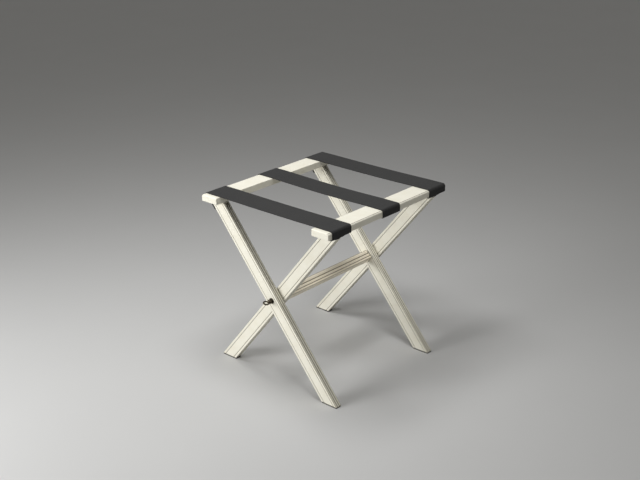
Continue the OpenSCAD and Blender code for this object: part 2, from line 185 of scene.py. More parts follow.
def put_mesh(name, points, faces, finish, attributes=None, uv=None, flat=None):
    """A mesh object at the origin from an array of points and a list of face arrays.
    attributes holds one value or vector for each point, uv one pair for each point, and
    flat lists the face arrays that keep hard shading."""
    mesh = bpy.data.meshes.new(name)
    all_faces = [face for block in faces for face in block.tolist()]
    mesh.from_pydata(points.tolist(), [], all_faces)
    hard = flat or ()
    smooth = np.concatenate([np.full(len(block), k not in hard) for k, block in enumerate(faces)])
    mesh.polygons.foreach_set("use_smooth", smooth)
    for field_name, values in (attributes or {}).items():
        kind, key = ("FLOAT_VECTOR", "vector") if values.ndim == 2 else ("FLOAT", "value")
        field = mesh.attributes.new(field_name, kind, "POINT")
        field.data.foreach_set(key, values.astype(np.float32).ravel())
    if uv is not None:
        corners = np.zeros(len(mesh.loops), np.int32)
        mesh.loops.foreach_get("vertex_index", corners)
        layer = mesh.uv_layers.new(name="UVMap")
        layer.data.foreach_set("uv", uv[corners].astype(np.float32).ravel())
    mesh.materials.append(finish)
    mesh.validate()
    piece = bpy.data.objects.new(name, mesh)
    bpy.context.scene.collection.objects.link(piece)
    return piece


def outward(points, faces):
    """The same faces, all turned over if the volume that they enclose comes out negative:
    the volume is a sixth of the sum of each fan triangle's corner products."""
    volume = 0.0
    for block in faces:
        for k in range(1, block.shape[1] - 1):
            a, b, c = points[block[:, 0]], points[block[:, k]], points[block[:, k + 1]]
            volume += np.einsum("ij,ij->", a, np.cross(b, c))
    return faces if volume > 0 else [block[:, ::-1] for block in faces]


def grid_quads(rows, cols, closed):
    """Quads of a grid whose point in row r and column c is number r * cols + c.
    The columns join up again where closed is true."""
    r, c = np.meshgrid(np.arange(rows - 1), np.arange(cols if closed else cols - 1), indexing="ij")
    a = r * cols + c
    b = r * cols + (c + 1) % cols
    return np.stack([a, b, b + cols, a + cols], -1).reshape(-1, 4)


def smoothstep(low, high, x):
    """0 up to low, 1 from high on, and an even S curve between them."""
    t = np.clip((x - low) / (high - low), 0, 1)
    return t * t * (3 - 2 * t)


def soften(outline, reach):
    """A closed outline with its corners rounded: it is sampled evenly along its length and each
    sample becomes the mean of its neighbours under a bell curve whose spread is reach."""
    loop = np.vstack([outline, outline[:1]])
    run = np.concatenate([[0], np.cumsum(np.linalg.norm(np.diff(loop, axis=0), axis=1))])
    count = SOFTEN_POINTS
    at = np.linspace(0, run[-1], count, endpoint=False)
    even = np.stack([np.interp(at, run, loop[:, k]) for k in (0, 1)], -1)
    away = np.minimum(at, run[-1] - at)
    bell = np.exp(-0.5 * (away / reach) ** 2)
    bell /= bell.sum()
    return np.fft.irfft(np.fft.rfft(even, axis=0) * np.fft.rfft(bell)[:, None], count, axis=0)


def thin_out(outline, count, closeness):
    """count points of a dense closed outline, spaced closer where it bends: steps along it are
    weighed by one plus closeness times the turn for each unit of length, which is first spread
    over its neighbours under a bell curve."""
    reach, spread = 40, 14
    step = np.roll(outline, -1, 0) - outline
    length = np.linalg.norm(step, axis=1)
    heading = np.unwrap(np.arctan2(step[:, 1], step[:, 0]))
    turn = np.abs(np.gradient(heading)) / length
    bell = np.exp(-0.5 * (np.arange(-reach, reach + 1) / spread) ** 2)
    turn = np.concatenate([turn[-reach:], turn, turn[:reach]])
    turn = np.convolve(turn, bell / bell.sum(), "valid")
    weight = np.concatenate([[0], np.cumsum(length * (1 + closeness * turn))])
    loop = np.vstack([outline, outline[:1]])
    at = np.linspace(0, weight[-1], count, endpoint=False)
    return np.stack([np.interp(at, weight, loop[:, k]) for k in (0, 1)], -1)


def inward_normals(outline):
    """Unit normals of a closed outline that runs anticlockwise, pointing into it."""
    chord = np.roll(outline, -1, 0) - np.roll(outline, 1, 0)
    chord /= np.linalg.norm(chord, axis=1)[:, None]
    return np.stack([-chord[:, 1], chord[:, 0]], -1)


# Moulded stock

def stock_outline(stock):
    """Section of a moulded stock as points (across, through), anticlockwise from the middle
    of an edge. A reeded edge is arcs side by side, each bulging by the stock's rise. A broad
    face is straight but for two V grooves at GROOVE_IN from the edges."""
    half_w, half_t, rise = stock.width / 2, stock.thickness / 2, stock.rise
    v = np.linspace(-half_t, half_t, EDGE_POINTS, endpoint=False)
    valleys = stock.thickness * np.concatenate([[0], np.cumsum(stock.shares)]) - half_t
    reed = np.searchsorted(valleys, v + TINY, side="right") - 1
    reed = np.clip(reed, 0, len(stock.shares) - 1)
    pitch = valleys[reed + 1] - valleys[reed]
    radius = pitch * pitch / 8 / rise + rise / 2
    from_crest = v - valleys[reed] - pitch / 2
    edge = np.stack([half_w - radius + np.sqrt(radius ** 2 - from_crest ** 2), v], -1)
    u = np.linspace(half_w - rise, rise - half_w, FACE_POINTS, endpoint=False)
    from_groove = np.abs(np.abs(u) - half_w + GROOVE_IN)
    groove = stock.groove_d * np.clip(1 - 2 * from_groove / GROOVE_W, 0, 1)
    face = np.stack([u, half_t - groove], -1)
    outline = np.vstack([edge, face, -edge, -face])
    middle = len(edge) // 2
    rounded = soften(np.roll(outline, -middle, 0), SOFTENING)
    return thin_out(rounded, STOCK_COLUMNS, CLOSER_AT_BENDS["stock"])


def stock_masks(stock, across, through):
    """How deep in a groove or between two reeds a point lies, from 0 at the faces to 1, where the
    paint lays brown glaze and painted shade, and how near a corner it lies, from 0 to 1 at the corner."""
    sink_face = stock.thickness / 2 - np.abs(through)
    sink_edge = stock.width / 2 - np.abs(across)
    in_groove = smoothstep(*GROOVE_FADE, sink_face)
    wiped = stock.wiped * stock.rise
    in_valley = smoothstep(wiped, wiped + REED_FADE * stock.rise, sink_edge)
    corner = np.hypot(sink_face, np.maximum(sink_edge - stock.rise, 0))
    return np.minimum(in_groove, in_valley), 1 - smoothstep(*CORNER_FADE, corner)


def moulded_length(name, finish, stock, origin, along, across, through, start, stop, bore=False):
    """A length of moulded stock: its section swept along a line through origin. start and stop
    give, for each point's distance across, how far along the stock is cut there, so a level cut
    through a leaning leg is a sheared end. Rows beside the ends follow the cut and rows further
    in are square. Each end narrows by END_EASE in two steps and is closed by one face. A bore
    leaves a square window in both broad faces, filled by rings that pass from it to a circle."""
    outline = stock_outline(stock)
    u = outline[:, 0]
    inward = inward_normals(outline)
    cols = len(outline)
    shear = stock.width / 2
    square = np.linspace(start(0.0) + shear, stop(0.0) - shear, LENGTH_ROWS)
    if bore:
        near = np.linspace(-BORE_REACH, BORE_REACH, BORE_ROWS)
        far = square[np.abs(square) > BORE_REACH + BORE_MARGIN]
        square = np.sort(np.concatenate([near, far]))
    middle = EASE_MIDDLE * END_EASE
    steps = [(0.0, END_EASE), (middle, middle), (END_EASE, 0.0), (ROW_IN["stock"], 0.0)]
    s_rows = [start(u) + d for d, _ in steps] + [np.full(cols, s) for s in square]
    s_rows += [stop(u) - d for d, _ in steps[::-1]]
    insets = [i for _, i in steps] + [0.0] * len(square) + [i for _, i in steps[::-1]]
    flat_uv = np.stack([outline + inward * i for i in insets])
    local = np.concatenate([np.stack(s_rows)[..., None], flat_uv], -1)
    rows = len(local)
    local = local.reshape(-1, 3)
    quads = grid_quads(rows, cols, True)
    first_cap = np.arange(cols)[None, ::-1]
    last_cap = (np.arange(cols) + (rows - 1) * cols)[None, :]
    blocks = [quads, first_cap, last_cap]
    if bore:
        r0 = len(steps) + int(np.argmax(square > -BORE_REACH - BORE_MARGIN / 2))
        r1 = r0 + BORE_ROWS - 1
        quarter = cols // 4
        spread = int(np.argmax(np.abs(u[quarter:]) > BORE_REACH))
        c0, c1 = quarter - spread, quarter + spread
        local, blocks = cut_bore(local, blocks, cols, r0, r1, c0, c1)
    points = origin + local @ np.stack([along, across, through])
    # The paint darkens the grooves and the valleys between reeds with brown glaze and painted shade
    glaze_and_shade, corner = stock_masks(stock, local[:, 1], local[:, 2])
    fields = {"place": local, "glaze_and_shade": glaze_and_shade, "corner": corner}
    return put_mesh(name, points, outward(points, blocks), finish, fields, flat=(1, 2))


def cut_bore(local, blocks, cols, r0, r1, c0, c1):
    """Opens a bore through both broad faces. The cells of the window between rows r0 and r1 and
    columns c0 and c1 go, and three rings of quads pass from its square rim to a circle. The last
    ring dips for an eased rim, and one band of quads joins the two circles through the stock."""
    rim_rc = [(r0, c) for c in range(c0, c1)] + [(r, c1) for r in range(r0, r1)]
    rim_rc += [(r1, c) for c in range(c1, c0, -1)] + [(r, c0) for r in range(r1, r0, -1)]
    upper = np.array([r * cols + c for r, c in rim_rc])
    lower = np.array([r * cols + (cols - c) % cols for r, c in rim_rc])
    quads = blocks[0]
    row, col = quads[:, 0] // cols, quads[:, 0] % cols
    inside_rows = (row >= r0) & (row < r1)
    in_upper = inside_rows & (col >= c0) & (col < c1)
    in_lower = inside_rows & (col >= cols - c1) & (col < cols - c0)
    kept = quads[~(in_upper | in_lower)]
    rings, count = [], len(upper)
    eased = BORE_R + BORE_EASE
    for rim, side in ((upper, 1), (lower, -1)):
        edge = local[rim]
        turn = np.arctan2(edge[:, 0], edge[:, 1])
        for share, radius, dip in ((BORE_BLEND, eased, 0), (1, eased, 0), (1, BORE_R, BORE_EASE)):
            circle = np.stack([radius * np.sin(turn), radius * np.cos(turn)], -1)
            flat = edge[:, :2] * (1 - share) + circle * share
            rings.append(np.column_stack([flat, edge[:, 2] - side * dip]))
    base = len(local)
    local = np.vstack([local] + rings)
    loops = [upper] + [base + k * count + np.arange(count) for k in range(3)]
    loops_low = [lower] + [base + (3 + k) * count + np.arange(count) for k in range(3)]
    bands = []
    for chain, forward in ((loops, True), (loops_low, False)):
        for a, b in zip(chain, chain[1:]):
            band = np.stack([a, np.roll(a, -1), np.roll(b, -1), b], -1)
            bands.append(band if forward else band[:, ::-1])
    a, b = loops[-1], loops_low[-1]
    bands.append(np.stack([a, np.roll(a, -1), np.roll(b, -1), b], -1))
    return local, [np.vstack([kept] + bands), blocks[1], blocks[2]]


def leg(side, rear, finish):
    """One leg of the frame whose rail is on that side, cut level at the pad and under the rail."""
    node = ("left" if side == LEFT else "right") + ("_rear_leg" if rear else "_front_leg")
    low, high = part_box(node)
    origin = np.array([0, (low.y + high.y) / 2, PIVOT_Z])
    along = np.array([side * math.cos(LEG_ANGLE), 0, math.sin(LEG_ANGLE)])
    across = np.array([-side * math.sin(LEG_ANGLE), 0, math.cos(LEG_ANGLE)])

    def cut_at(z):
        return lambda u: (z - PIVOT_Z - u * across[2]) / along[2]

    piece = moulded_length(node + "_moulding", finish, LEG_STOCK, origin, along, across,
                           np.array([0, 1, 0]), cut_at(low.z), cut_at(high.z), bore=True)
    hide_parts(node)
    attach(piece, "left_frame" if side == LEFT else "right_frame")


def stretcher(finish):
    """The bar between the inner legs, turned to line up with the right frame's legs."""
    def square_cut(y):
        return lambda u: u * 0 + y

    across = np.array([math.cos(LEG_ANGLE), 0, math.sin(LEG_ANGLE)])
    through = np.array([-math.sin(LEG_ANGLE), 0, math.cos(LEG_ANGLE)])
    piece = moulded_length("stretcher_moulding", finish, BAR_STOCK, np.array([0, 0, PIVOT_Z]),
                           np.array([0, 1, 0]), across, through,
                           square_cut(-STRETCHER_END), square_cut(STRETCHER_END))
    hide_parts("stretcher")
    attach(piece, "right_frame")


# Rails

def rail_outline():
    """Section of a rail as points (out, up) about its own middle, anticlockwise from the foot of
    its outer side: a rectangle with corners of RAIL_EASE, but its outer top corner is a step of
    RAIL_STEP down to a quarter circle of RAIL_BEAD."""
    half_w, half_h = RAIL_W / 2, RAIL_H / 2
    quarter = np.radians(np.linspace(0, 90, QUARTER_POINTS))
    ring = np.stack([np.cos(quarter), np.sin(quarter)], -1)
    bead_x, bead_z = half_w - RAIL_BEAD, half_h - RAIL_STEP - RAIL_BEAD
    ease = RAIL_EASE
    points = np.vstack([
        ring[::-1] * [ease, -ease] + [half_w - ease, ease - half_h],
        ring * RAIL_BEAD + [bead_x, bead_z],
        [[bead_x, half_h]],
        ring[::-1] * [-ease, ease] + [ease - half_w, half_h - ease],
        ring * [-ease, -ease] + [ease - half_w, ease - half_h]])
    return thin_out(soften(points, RAIL_SOFTENING), RAIL_COLUMNS, CLOSER_AT_BENDS["rail"])


def rail(side, finish):
    """A rail: its section swept along Y. Within RAIL_END_ROUND of an end the section draws in
    towards its middle on all sides by as much as a quarter circle of that radius does. Painted
    shade, in the brown of the glaze, lies on the step's riser and in its foot, and thins out over
    the rounded ends."""
    outline = rail_outline()
    cols = len(outline)
    turn = np.radians(np.linspace(0, 90, BEND_POINTS))
    from_end = RAIL_END_ROUND * (1 - np.sin(turn))[::-1]
    inset = RAIL_END_ROUND * (1 - np.cos(turn))[::-1]
    half = RAIL_LEN / 2
    middle = np.linspace(ROW_IN["rail"] - half, half - ROW_IN["rail"], RAIL_ROWS)
    y = np.concatenate([from_end - half, middle, (half - from_end)[::-1]])
    insets = np.concatenate([inset, np.zeros(RAIL_ROWS), inset[::-1]])
    size = np.array([RAIL_W / 2, RAIL_H / 2])
    section = outline * ((size - insets[:, None]) / size)[:, None, :]
    rows = len(y)
    along = np.broadcast_to(y[:, None, None], (rows, cols, 1))
    local = np.concatenate([along, section], -1).reshape(-1, 3)
    blocks = [grid_quads(rows, cols, True), np.arange(cols)[None, ::-1],
              (np.arange(cols) + (rows - 1) * cols)[None, :]]
    points = np.stack([side * (RAIL_X + local[:, 1]), RAIL_Y + local[:, 0],
                       (RAIL_TOP + RAIL_BOTTOM) / 2 + local[:, 2]], -1)
    # Painted shade: the step's riser and its foot are darkened in the glaze's brown
    off_riser = np.abs(outline[:, 0] - size[0] + RAIL_BEAD)
    above_foot = outline[:, 1] - size[1] + RAIL_STEP
    on_riser = 1 - smoothstep(*RISER_FADE, off_riser)
    in_foot = smoothstep(-FOOT_FADE, 0, above_foot)
    under_top = 1 - smoothstep(TOP_FADE * RAIL_STEP, RAIL_STEP, above_foot)
    glaze_and_shade = np.outer(1 - insets / RAIL_END_ROUND, on_riser * in_foot * under_top).ravel()
    arris = np.hypot(size[0] - np.abs(local[:, 1]), size[1] - np.abs(local[:, 2]))
    fields = {"place": local, "glaze_and_shade": glaze_and_shade, "corner": 1 - smoothstep(*ARRIS_FADE, arris)}
    word = "left" if side == LEFT else "right"
    faces = outward(points, blocks)
    piece = put_mesh(word + "_rail_moulding", points, faces, finish, fields, flat=(1, 2))
    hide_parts(word + "_rail")
    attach(piece, word + "_frame")


# Straps

STRAP_TOP = RAIL_TOP + STRAP_PLAY + STRAP_T / 2
STRAP_LOW = RAIL_BOTTOM - STRAP_PLAY - STRAP_T / 2
STRAP_SIDE = RAIL_OUTER + STRAP_PLAY + STRAP_T / 2
BEND_R = RAIL_EASE + STRAP_PLAY + STRAP_T / 2
CROWN_R = RAIL_BEAD + CROWN_PLAY + STRAP_T / 2
LAP_OFF = LEG_STOCK.width / 2 + STRAP_PLAY + STRAP_T / 2
LEG_SLOPE = math.tan(LEG_ANGLE)


def arc(centre, radius, first, last):
    """Points of an arc in the XZ plane, its angles in degrees."""
    turn = np.radians(np.linspace(first, last, BEND_POINTS))
    return np.array(centre) + radius * np.stack([np.cos(turn), np.sin(turn)], -1)


def line(a, b, step):
    """Points from a to b, the first left out, no further apart than step."""
    a, b = np.array(a), np.array(b)
    count = max(1, int(math.ceil(np.linalg.norm(b - a) / step)))
    return a + (b - a) * (np.arange(1, count + 1) / count)[:, None]


def strap_top_run(sag):
    """Middle of a strap's thickness, from the end of the left rail's lower bend over both rails to
    the end of the right rail's lower bend. Between the rails it hangs as a parabola by sag."""
    crown = arc((STRAP_SIDE - CROWN_R, STRAP_TOP - CROWN_R), CROWN_R, 90, 0)
    side = line(crown[-1], (STRAP_SIDE, STRAP_LOW + BEND_R), RUN_STEP)
    bend = arc((STRAP_SIDE - BEND_R, STRAP_LOW + BEND_R), BEND_R, 0, -90)[1:]
    on_rail = line((RAIL_INNER, STRAP_TOP), crown[0], RUN_STEP)[:-1]
    t = np.linspace(-1, 1, SPAN_POINTS)
    span = np.stack([RAIL_INNER * t, STRAP_TOP - sag * (1 - t * t)], -1)
    right = np.vstack([on_rail, crown, side, bend])
    left = right[::-1] * np.array([-1, 1])
    return np.vstack([left, span, right])


def tail_runs(side):
    """The runs of a strap's end under one rail, each from the lower bend: plain is flat under the
    rail, folded turns back under itself, and lap turns down the leg's outer edge. On the left
    frame the lap turns back on itself too, outwards. The folded run comes with how far it hangs,
    as a smooth step from the tacks to its end."""
    start = np.array([STRAP_SIDE - BEND_R, STRAP_LOW])
    end = np.array([RAIL_OUTER - STRAP_TAIL, STRAP_LOW])
    plain = line(start, end, RUN_STEP)
    turn = arc((end[0], STRAP_LOW - FOLD_R), FOLD_R, 90, 270)[1:]
    back = line(turn[-1], start - [TONGUE_IN, 2 * FOLD_R], END_STEP)
    folded = np.vstack([plain, turn, back])
    hang = np.zeros(len(folded))
    past_tack, past_end = RAIL_OUTER - TACK_IN + HANG_LAG, start[0] + HANG_LAG
    hang[-len(back):] = HANG * smoothstep(past_tack, past_end, back[:, 0])
    knee = np.array([(STRAP_LOW - PIVOT_Z) / LEG_SLOPE + LAP_OFF / math.sin(LEG_ANGLE), STRAP_LOW])
    down = np.array([-math.cos(LEG_ANGLE), -math.sin(LEG_ANGLE)])
    out = np.array([math.sin(LEG_ANGLE), -math.cos(LEG_ANGLE)])
    before, after = knee + [KNEE_EASE, 0], knee + down * KNEE_EASE
    t = np.linspace(0, 1, KNEE_POINTS)[:, None]
    curve = before * (1 - t) ** 2 + 2 * knee * t * (1 - t) + after * t ** 2
    foot = knee + down * LAP[side]
    lap = [curve, line(after, foot, END_STEP)]
    if side == LEFT:
        turn = np.radians(np.linspace(0, 180, BEND_POINTS))[1:, None]
        hem = foot + FOLD_R * (out * (1 - np.cos(turn)) + down * np.sin(turn))
        lap += [hem, line(hem[-1], knee + down * HEM_END + out * 2 * FOLD_R, END_STEP)]
    runs = {"plain": plain, "folded": folded, "lap": np.vstack(lap)}
    return {kind: run * np.array([side, 1]) for kind, run in runs.items()}, hang


def strap(name, finish, sag, skew, leg_side):
    """A strap: one sheet of quads down the middle of its thickness, then Solidify gives it
    STRAP_T. It runs a little askew: its right end lies skew along Y from its middle and its left
    end as far the other way. leg_side is "front" or "rear" where legs stand under its ends, and
    there each end is slit into a folded tongue in front of the leg, a lap down its outer edge
    and a plain tongue behind it. Columns keep their distance across the strap all along."""
    y = middle_of(name)
    low, high = y - STRAP_W / 2, y + STRAP_W / 2
    splits = {}
    for side, word in ((LEFT, "left"), (RIGHT, "right")):
        if leg_side:
            leg_y = middle_of(word + "_" + leg_side + "_leg") - side * skew
            a, b = leg_y - LEG_STOCK.thickness / 2, leg_y + LEG_STOCK.thickness / 2
            splits[side] = [("folded", low, a - SLIT_W), ("lap", a, b), ("plain", b + SLIT_W, high)]
    marks = {mark for parts in splits.values() for part in parts for mark in part[1:]}
    marks = sorted({low, high} | marks)
    across = [low]
    for a, b in zip(marks, marks[1:]):
        count = max(1, math.ceil((b - a) / RUN_STEP))
        across += list(a + (b - a) * np.arange(1, count + 1) / count)
    across = np.array(across)
    run = strap_top_run(sag)
    along = np.concatenate([[0], np.cumsum(np.linalg.norm(np.diff(run, axis=0), axis=1))])
    along -= along[-1] / 2
    points, uv, blocks, cols = [], [], [], len(across)

    def add_sheet(path, lengths, columns, joined_to=None, hang=None):
        """Quads of the rows of points along path at some columns. joined_to numbers the points
        already made that the first row joins on to. hang lowers each row, by little at the first
        column and by all of it at the last."""
        base = sum(len(p) for p in points)
        x = np.repeat(path[:, 0], len(columns))
        z = np.repeat(path[:, 1], len(columns))
        place = np.tile(across[columns], len(path))
        grid = np.stack([x, place + skew * np.clip(x / RAIL_X, -1, 1), z], -1)
        if hang is not None:
            first, last = across[columns[0]], across[columns[-1]]
            share = smoothstep(first - HANG_SPREAD, last, across[columns])
            grid[:, 2] -= np.outer(hang, share).ravel()
        points.append(grid)
        uv.append(np.stack([np.repeat(lengths, len(columns)), place - y], -1))
        quads = grid_quads(len(path), len(columns), False) + base
        if joined_to is not None:
            first_row = base + np.arange(len(columns))
            bridge = [joined_to[:-1], joined_to[1:], first_row[1:], first_row[:-1]]
            quads = np.vstack([np.stack(bridge, -1), quads])
        return quads

    blocks.append(add_sheet(run, along, np.arange(cols)))
    area = STRAP_W * (along[-1] - along[0])
    longest = {}
    for side in (LEFT, RIGHT):
        end_row = (0 if side == LEFT else len(run) - 1) * cols
        tails, hang = tail_runs(side)
        for kind, a, b in splits.get(side, [("plain", low, high)]):
            columns = np.nonzero((across > a - TINY) & (across < b + TINY))[0]
            path = tails[kind]
            corner = run[0 if side == LEFT else -1]
            lengths = np.cumsum(np.linalg.norm(np.diff(np.vstack([corner, path]), axis=0), axis=1))
            quads = add_sheet(path, side * (along[-1] + lengths), columns, end_row + columns,
                              hang if kind == "folded" else None)
            blocks.append(quads if side == RIGHT else quads[:, ::-1])
            area += (b - a) * lengths[-1]
            longest[side] = max(longest.get(side, 0), lengths[-1])
    points, uv = np.vstack(points), np.vstack(uv)
    piece = put_mesh(name + "_webbing", points, [block[:, ::-1] for block in blocks], finish,
                     {"from_edge": STRAP_W / 2 - np.abs(uv[:, 1])}, uv)
    shell = piece.modifiers.new("thickness", "SOLIDIFY")
    shell.thickness = STRAP_T
    shell.offset = 0
    rim = piece.modifiers.new("selvedge", "BEVEL")
    rim.width = SELVEDGE
    rim.segments = 3
    rim.limit_method = "ANGLE"
    rim.angle_limit = math.radians(60)
    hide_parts(name)
    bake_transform(piece)


# Lathe work

def lathe(profile, count):
    """Points and faces of a shape turned about Y: profile is (y, radius) from one end on the axis
    to the other, each step of it swept through a full turn of count steps. The two ends are closed
    by fans at points on the axis."""
    turn = np.linspace(0, 2 * np.pi, count, endpoint=False)
    ring = profile[1:-1]
    y = np.repeat(ring[:, 0], count)
    r = np.repeat(ring[:, 1], count)
    t = np.tile(turn, len(ring))
    points = np.stack([r * np.cos(t), y, r * np.sin(t)], -1)
    points = np.vstack([points, [[0, profile[0, 0], 0], [0, profile[-1, 0], 0]]])
    quads = grid_quads(len(ring), count, True)
    k = np.arange(count)
    first, last = len(points) - 2, len(points) - 1
    start_fan = np.stack([np.full(count, first), (k + 1) % count, k], -1)
    top = (len(ring) - 1) * count
    end_fan = np.stack([np.full(count, last), top + k, top + (k + 1) % count], -1)
    return points, [quads, start_fan, end_fan]


def rounded_steps(corners, radius, count=5):
    """A profile through the corners, each inner one turned by a small curve: a quadratic one that
    leaves the corner's two sides at the radius from it, or at TURNED_SHARE of a short side."""
    out = [np.array(corners[0], float)]
    for a, b, c in zip(corners, corners[1:], corners[2:]):
        a, b, c = (np.array(p, float) for p in (a, b, c))
        back, on = a - b, c - b
        r = min(radius, np.linalg.norm(back) * TURNED_SHARE, np.linalg.norm(on) * TURNED_SHARE)
        p, q = b + back / np.linalg.norm(back) * r, b + on / np.linalg.norm(on) * r
        t = np.linspace(0, 1, count)[:, None]
        out += list(p * (1 - t) ** 2 + 2 * b * t * (1 - t) + q * t ** 2)
    out.append(np.array(corners[-1], float))
    return np.array(out)


def eye_bolt(rear, finish):
    """A pivot bolt: thread, plain shank, round head with a turned line, neck and ring. The ring is
    a circle of wire, turned about the rack's depth by RING_TURN, and its wire swells under a bell
    curve where it grows out of the neck."""
    thread_end = -STRETCHER_END + THREAD_LEN
    head_out = -HEAD_Y - HEAD_LEN
    ring_y = head_out - NECK_LEN - RING_D / 2
    half = HEAD_D / 2
    collar_y = -HEAD_Y - COLLAR_AT
    tip_len, tip_deep = THREAD_TIP
    seat_len, seat_deep = HEAD_SEAT
    root_len, root_up = NECK_ROOT
    corners = [(thread_end, 0), (thread_end, THREAD_D / 2 - tip_deep),
               (thread_end - tip_len, THREAD_D / 2), (-STRETCHER_END, THREAD_D / 2),
               (-STRETCHER_END, SHANK_D / 2), (-HEAD_Y, SHANK_D / 2),
               (-HEAD_Y, half - seat_deep), (-HEAD_Y - seat_len, half),
               (collar_y + COLLAR_HALF, half), (collar_y, half - COLLAR_HALF),
               (collar_y - COLLAR_HALF, half)]
    corners += [(head_out + back, half - down) for back, down in CROWN]
    corners += [(head_out - root_len, NECK_D / 2 + root_up),
                (head_out - NECK_LEN * NECK_WAIST, NECK_D / 2), (ring_y + RING_D / 2, NECK_D / 2),
                (ring_y + RING_D / 2 - NECK_IN_RING, 0)]
    points, faces = lathe(rounded_steps(corners, TURNED_R), LATHE_COLUMNS)
    faces = outward(points, faces)
    turn = np.linspace(0, 2 * np.pi, RING_COLUMNS, endpoint=False)
    wire = np.linspace(0, 2 * np.pi, WIRE_COLUMNS, endpoint=False)
    from_neck = (turn + np.pi / 2) % (2 * np.pi) - np.pi
    swell = 1 + RING_SWELL * np.exp(-0.5 * (from_neck / RING_SWELL_SPREAD) ** 2)
    radius = RING_WIRE / 2 * swell[:, None]
    big, small = np.meshgrid(turn, wire, indexing="ij")
    out, up = RING_D / 2 + radius * np.cos(small), radius * np.sin(small)
    flat_x, flat_y = out * np.cos(big), -out * np.sin(big)
    cos_turn, sin_turn = math.cos(RING_TURN), math.sin(RING_TURN)
    ring = np.stack([flat_x * cos_turn + up * sin_turn, ring_y + flat_y,
                     RING_LIFT + up * cos_turn - flat_x * sin_turn], -1).reshape(-1, 3)
    cells = grid_quads(RING_COLUMNS + 1, WIRE_COLUMNS, True) % len(ring)
    cells = outward(ring, [cells])[0]
    everything = np.vstack([points, ring])
    faces = faces + [cells + len(points)]
    everything[:, 2] += PIVOT_Z
    if rear:
        everything[:, :2] *= -1
    node = "rear_pivot_bolt" if rear else "front_pivot_bolt"
    piece = put_mesh(node + "_eye", everything, faces, finish)
    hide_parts(node)
    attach(piece, "right_frame")


# Materials

def new_finish(name):
    """A material of that name with one principled shader, its node tree and that shader."""
    finish = bpy.data.materials.new(name)
    finish.use_nodes = True
    tree = finish.node_tree
    tree.nodes.clear()
    shader = tree.nodes.new("ShaderNodeBsdfPrincipled")
    output = tree.nodes.new("ShaderNodeOutputMaterial")
    tree.links.new(shader.outputs["BSDF"], output.inputs["Surface"])
    return finish, tree, shader


def feed(tree, socket, value):
    """Links value into the socket if it is another node's output, sets it there if it is a number
    or a colour, and leaves the socket as it is for None."""
    if isinstance(value, bpy.types.NodeSocket):
        tree.links.new(value, socket)
    elif value is not None:
        socket.default_value = value


def place_of(tree, attribute=None, scale=(1, 1, 1)):
    """The point's place, in the object's own metres or from an attribute, stretched by scale."""
    if attribute:
        source = tree.nodes.new("ShaderNodeAttribute")
        source.attribute_name = attribute
        out = source.outputs["Vector"]
    else:
        out = tree.nodes.new("ShaderNodeTexCoord").outputs["Object"]
    mapping = tree.nodes.new("ShaderNodeMapping")
    mapping.inputs["Scale"].default_value = scale
    tree.links.new(out, mapping.inputs["Vector"])
    return mapping.outputs["Vector"]


def value_of(tree, attribute):
    """The number that a point attribute holds."""
    source = tree.nodes.new("ShaderNodeAttribute")
    source.attribute_name = attribute
    return source.outputs["Fac"]


def noise(tree, place, scale, detail=3.0, roughness=0.5):
    """Cloudy noise at a place, with scale clouds to the metre."""
    texture = tree.nodes.new("ShaderNodeTexNoise")
    tree.links.new(place, texture.inputs["Vector"])
    texture.inputs["Scale"].default_value = scale
    texture.inputs["Detail"].default_value = detail
    texture.inputs["Roughness"].default_value = roughness
    return texture.outputs["Fac"]


def calc(tree, kind, a, b=None, c=None):
    """One step of arithmetic on sockets or numbers."""
    node = tree.nodes.new("ShaderNodeMath")
    node.operation = kind
    for socket, value in zip(node.inputs, (a, b, c)):
        feed(tree, socket, value)
    return node.outputs[0]


def between(tree, value, low, high, to_low=0.0, to_high=1.0):
    """value as it runs from low to high, eased and carried to the range to_low to to_high."""
    node = tree.nodes.new("ShaderNodeMapRange")
    node.interpolation_type = "SMOOTHSTEP"
    feed(tree, node.inputs["Value"], value)
    for key, number in (("From Min", low), ("From Max", high), ("To Min", to_low), ("To Max", to_high)):
        node.inputs[key].default_value = number
    return node.outputs["Result"]


def blend_colours(tree, share, a, b):
    """Colour a where share is 0, b where it is 1, and a mix between."""
    node = tree.nodes.new("ShaderNodeMix")
    node.data_type = "RGBA"
    feed(tree, node.inputs["Factor"], share)
    feed(tree, node.inputs["A"], a if isinstance(a, bpy.types.NodeSocket) else (*a, 1))
    feed(tree, node.inputs["B"], b if isinstance(b, bpy.types.NodeSocket) else (*b, 1))
    return node.outputs["Result"]


def relief(tree, height, depth, under=None):
    """A bump of that depth in metres, over another bump if one is given."""
    node = tree.nodes.new("ShaderNodeBump")
    node.inputs["Strength"].default_value = 1.0
    node.inputs["Distance"].default_value = depth
    tree.links.new(height, node.inputs["Height"])
    if under is not None:
        tree.links.new(under, node.inputs["Normal"])
    return node.outputs["Normal"]


BRUSHED_TONE = (0.76, 0.71, 0.55)
GLAZE_AND_SHADE_BROWN = (0.10, 0.078, 0.032)
WORN_CORNER = (0.42, 0.35, 0.20)
SPECK_BROWN = (0.20, 0.14, 0.07)


